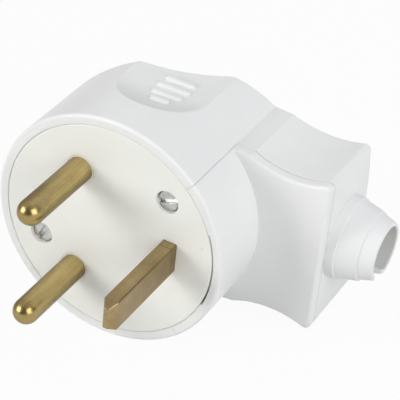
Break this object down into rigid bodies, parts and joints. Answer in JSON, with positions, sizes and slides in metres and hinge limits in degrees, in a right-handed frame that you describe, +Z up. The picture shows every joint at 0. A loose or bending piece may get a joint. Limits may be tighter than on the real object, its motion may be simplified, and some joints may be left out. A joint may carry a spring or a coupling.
{
  "type": "angled three-pin power plug",
  "caption": "Rewirable angled power plug: round body with finger recesses, flared side neck with a stepped cable sleeve, brass round and flat pins.",
  "frame": {"origin": "centre of the contact face, on the front surface of the disc, as plug drawings measure their pins from", "axes": "-Y along the pins, out of the contact face; +Z up with the plug lying on its side as it rests; +X towards the cable end, which dips to the table"},
  "size_m": [0.0959, 0.0784, 0.0658],
  "materials": {
    "white_housing": "satin-gloss moulded white plastic",
    "white_disc": "satin moulded warm white plastic",
    "white_sleeve": "satin flexible white plastic",
    "inner_plastic": "matt moulded plastic",
    "brass": "turned and milled, satin",
    "screw_steel": "nickel plated"
  },
  "bodies": {
    "root": {"cable_sleeve": "white_sleeve", "contact_disc": "white_disc", "cord_clamp_bar": "inner_plastic", "earth_cup_washer": "brass", "earth_pin": "brass", "earth_spring_washer": "screw_steel", "earth_terminal_screw": "screw_steel", "line_cup_washer": "brass", "line_pin": "brass", "line_spring_washer": "screw_steel", "line_terminal_screw": "screw_steel", "lower_clamp_screw": "screw_steel", "lower_housing_screw": "screw_steel", "lower_threaded_insert": "brass", "neck_cover": "white_housing", "neutral_cup_washer": "brass", "neutral_pin": "brass", "neutral_spring_washer": "screw_steel", "neutral_terminal_screw": "screw_steel", "pin_retainer": "inner_plastic", "rear_shell": "white_housing", "retainer_screws": "screw_steel", "upper_clamp_screw": "screw_steel", "upper_housing_screw": "screw_steel", "upper_threaded_insert": "brass"}
  },
  "joints": []
}
